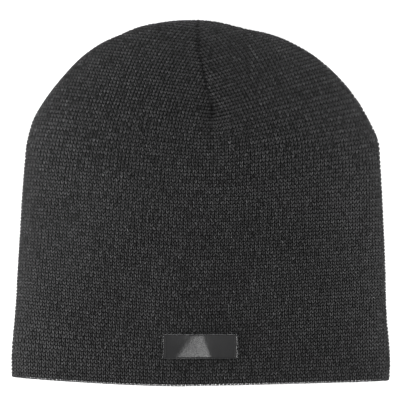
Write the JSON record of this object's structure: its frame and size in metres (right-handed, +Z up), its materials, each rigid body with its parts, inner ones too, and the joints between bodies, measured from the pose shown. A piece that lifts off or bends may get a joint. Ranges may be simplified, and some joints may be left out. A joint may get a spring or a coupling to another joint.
{
  "type": "flame-resistant knit beanie",
  "caption": "Short black knit beanie lying flat on its back, hollow and open at the rim, with a darted crown and a small satin tab above the rim.",
  "frame": {"origin": "on the surface that the hat lies on, under the middle of its bounding box", "axes": "+Z up from the surface through the front of the hat, +Y from the rim to the crown, +X to the wearer's left"},
  "size_m": [0.2166, 0.209, 0.0271],
  "materials": {
    "knit": "matt fine knit",
    "thread": "matt sewing thread",
    "satin": "glossy black satin"
  },
  "bodies": {
    "root": {"knit_body": "knit", "crown_seam": "thread", "front_dart_seam": "thread", "back_dart_seam": "thread", "label": "satin"}
  },
  "joints": []
}
